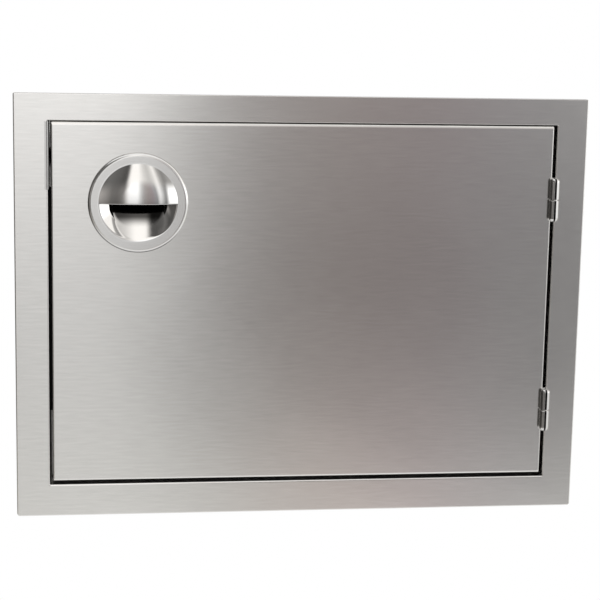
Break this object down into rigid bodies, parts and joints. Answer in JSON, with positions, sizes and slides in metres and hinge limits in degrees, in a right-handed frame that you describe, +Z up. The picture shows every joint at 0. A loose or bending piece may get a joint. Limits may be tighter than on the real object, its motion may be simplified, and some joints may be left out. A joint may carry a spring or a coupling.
{
  "type": "outdoor kitchen access door",
  "caption": "Stainless access door for an outdoor kitchen: flush door with a round hooded pull, swinging on lift-off hinges in a flat flanged frame with a jamb sleeve and magnetic catch.",
  "frame": {"origin": "centre of the door opening, in the plane of the wall's face where the frame's outer return seats", "axes": "+X to the hinge side, +Y into the wall, +Z up; the door faces -Y"},
  "size_m": [0.458, 0.0649, 0.339],
  "materials": {
    "brushed_steel": "long horizontal brushed grain on stainless sheet",
    "mill_steel": "plain cold rolled stainless sheet, finer and duller than the face",
    "polished_steel": "polished bowl and hood with a satin ring",
    "hinge_steel": "smooth turned stainless",
    "black_rubber": "matte black weather strip",
    "ferrite": "dark grey sintered magnet, plastic standing in for ferrite",
    "zinc_plate": "bright zinc plated mild steel",
    "fastener_steel": "plain stainless fasteners"
  },
  "bodies": {
    "frame": {"catch_bracket": "mill_steel", "catch_cup": "zinc_plate", "catch_magnet": "ferrite", "catch_nut": "fastener_steel", "catch_screw": "fastener_steel", "face_frame": "brushed_steel", "jamb_bottom": "mill_steel", "jamb_left": "mill_steel", "jamb_right": "mill_steel", "jamb_top": "mill_steel", "lower_hinge_frame_leaf": "hinge_steel", "lower_hinge_pin": "hinge_steel", "lower_hinge_washer": "fastener_steel", "seal_bottom": "black_rubber", "seal_left": "black_rubber", "seal_right": "black_rubber", "seal_top": "black_rubber", "stop_bottom": "mill_steel", "stop_left": "mill_steel", "stop_right": "mill_steel", "stop_top": "mill_steel", "upper_hinge_frame_leaf": "hinge_steel", "upper_hinge_pin": "hinge_steel", "upper_hinge_washer": "fastener_steel"},
    "door": {"door_liner": "mill_steel", "door_skin": "brushed_steel", "lower_hinge_backer": "mill_steel", "lower_hinge_door_leaf": "hinge_steel", "pull_bridge": "mill_steel", "pull_cup": "polished_steel", "pull_gasket": "black_rubber", "pull_hood": "polished_steel", "pull_nut": "fastener_steel", "pull_stud": "fastener_steel", "pull_washer": "fastener_steel", "strike_plate": "zinc_plate", "strike_rivets": "fastener_steel", "upper_hinge_backer": "mill_steel", "upper_hinge_door_leaf": "hinge_steel"}
  },
  "joints": [
    {"name": "door_swing", "type": "hinge", "parent": "frame", "child": "door", "pos_m": [0.20205, -0.00945, 0], "axis": [0, 0, 1], "range_deg": [0, 180]}
  ]
}
